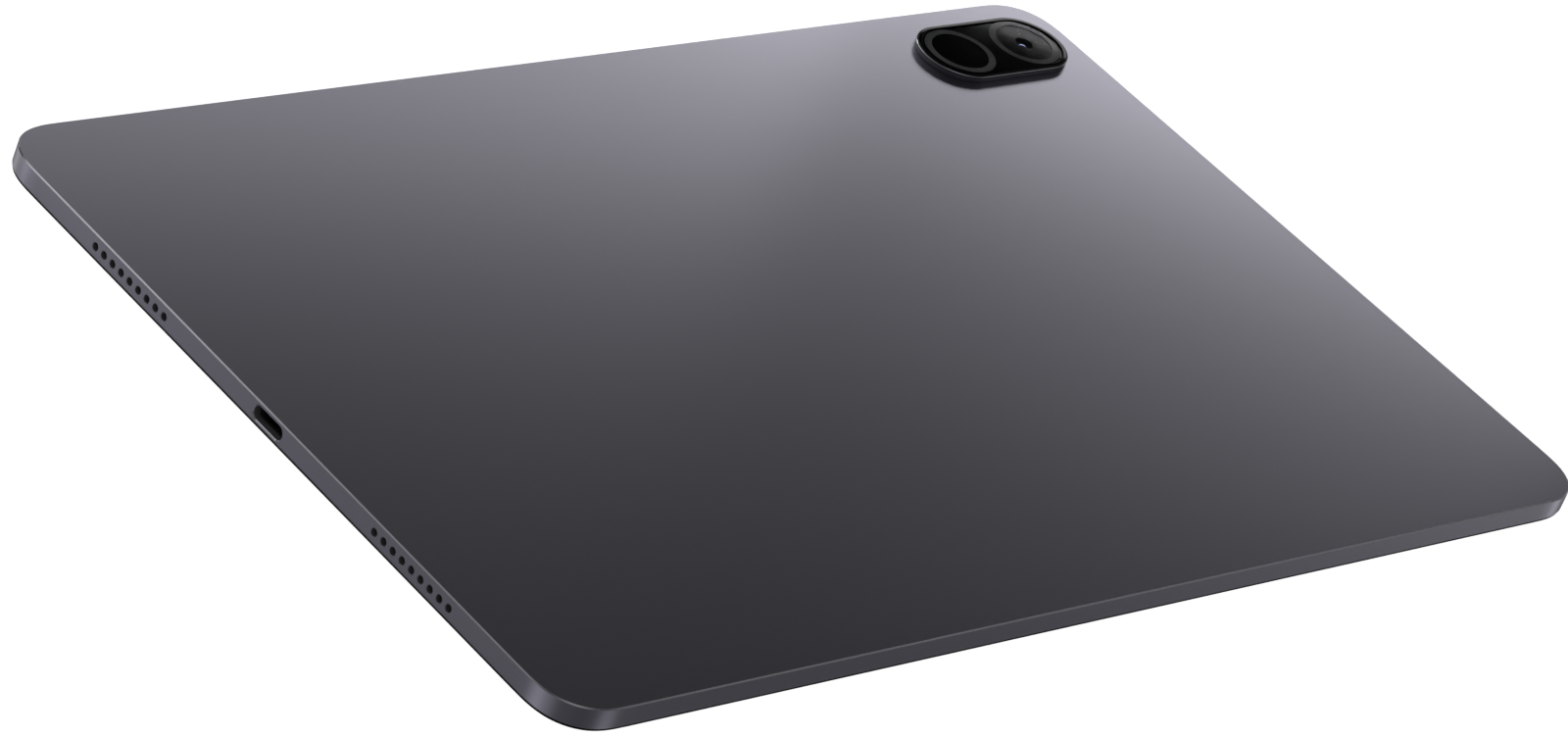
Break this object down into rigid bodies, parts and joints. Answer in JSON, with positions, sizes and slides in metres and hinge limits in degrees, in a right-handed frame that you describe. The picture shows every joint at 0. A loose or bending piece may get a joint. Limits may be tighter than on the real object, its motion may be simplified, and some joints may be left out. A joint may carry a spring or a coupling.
{
  "type": "tablet computer",
  "caption": "Slim metal-backed tablet computer with a raised pill-shaped camera island, side speaker holes, a charging port and side buttons.",
  "frame": {"origin": "middle of the screen face, which is the bottom of the tablet as it lies screen down", "axes": "+X along the long side, away from the charging port; +Y up the back towards the camera's long side; +Z out of the back"},
  "size_m": [0.2774, 0.1796, 0.0079],
  "materials": {
    "space_grey_aluminium": "satin",
    "black_plastic": "satin",
    "front_glass": "polished",
    "black_anodised": "satin",
    "black_gloss": "gloss",
    "ring_grey": "satin",
    "island_glass": "polished",
    "panel_glass": "gloss",
    "clear_plastic": "gloss",
    "white_board": "satin",
    "bright_steel": "satin",
    "circuit_board": "satin",
    "flex_copper": "satin",
    "cell_foil": "satin",
    "graphite": "matte",
    "antenna_brass": "satin",
    "camera_metal": "satin",
    "lens_glass": "polished",
    "magnet_nickel": "satin"
  },
  "bodies": {
    "chassis": {"rear_cover": "space_grey_aluminium", "bezel_frame": "black_plastic", "cover_glass": "front_glass", "camera_island_frame": "black_anodised", "camera_deco_plate": "black_gloss", "camera_ring_blank": "ring_grey", "camera_ring_lens": "ring_grey", "camera_cover_glass": "island_glass", "display_panel": "panel_glass", "light_guide": "clear_plastic", "backlight_bar": "white_board", "display_back_plate": "bright_steel", "display_driver_board": "circuit_board", "display_flex": "flex_copper", "battery_cell_left": "cell_foil", "battery_cell_right": "cell_foil", "battery_protection_board": "circuit_board", "battery_lead": "flex_copper", "main_board": "circuit_board", "processor_shield": "bright_steel", "memory_shield": "bright_steel", "power_shield": "bright_steel", "radio_shield": "bright_steel", "graphite_sheet": "graphite", "usb_board": "circuit_board", "usb_c_shell": "bright_steel", "usb_c_tongue": "black_plastic", "board_link_flex": "flex_copper", "antenna_left": "antenna_brass", "antenna_right": "antenna_brass", "hall_sensor": "black_plastic", "top_microphone": "bright_steel", "rear_camera_module": "camera_metal", "rear_camera_barrel": "black_anodised", "rear_camera_lens": "lens_glass", "front_camera_module": "camera_metal", "power_switch": "bright_steel", "power_switch_bracket": "bright_steel", "volume_switch_up": "bright_steel", "volume_switch_down": "bright_steel", "volume_switch_board": "circuit_board", "cover_magnet_left": "magnet_nickel", "cover_magnet_right": "magnet_nickel", "main_board_screw_1": "bright_steel", "main_board_screw_2": "bright_steel", "main_board_screw_3": "bright_steel", "main_board_screw_4": "bright_steel", "usb_board_screw_1": "bright_steel", "usb_board_screw_2": "bright_steel", "speaker_port_side_upper": "black_plastic", "speaker_mesh_port_side_upper": "bright_steel", "speaker_port_side_lower": "black_plastic", "speaker_mesh_port_side_lower": "bright_steel", "speaker_far_side_upper": "black_plastic", "speaker_mesh_far_side_upper": "bright_steel", "speaker_far_side_lower": "black_plastic", "speaker_mesh_far_side_lower": "bright_steel"},
    "power_key": {"power_button": "space_grey_aluminium"},
    "volume_key": {"volume_rocker": "space_grey_aluminium"}
  },
  "joints": [
    {"name": "power_press", "type": "slide", "parent": "chassis", "child": "power_key", "axis": [-1, 0, 0], "range_m": [0, 0.00025], "stiffness_N_per_m": 6000},
    {"name": "volume_rock", "type": "hinge", "parent": "chassis", "child": "volume_key", "pos_m": [0.101, 0.08734, 0.00395], "axis": [0, 0, 1], "range_deg": [-1.2, 1.2], "stiffness_Nm_per_rad": 0.6}
  ]
}
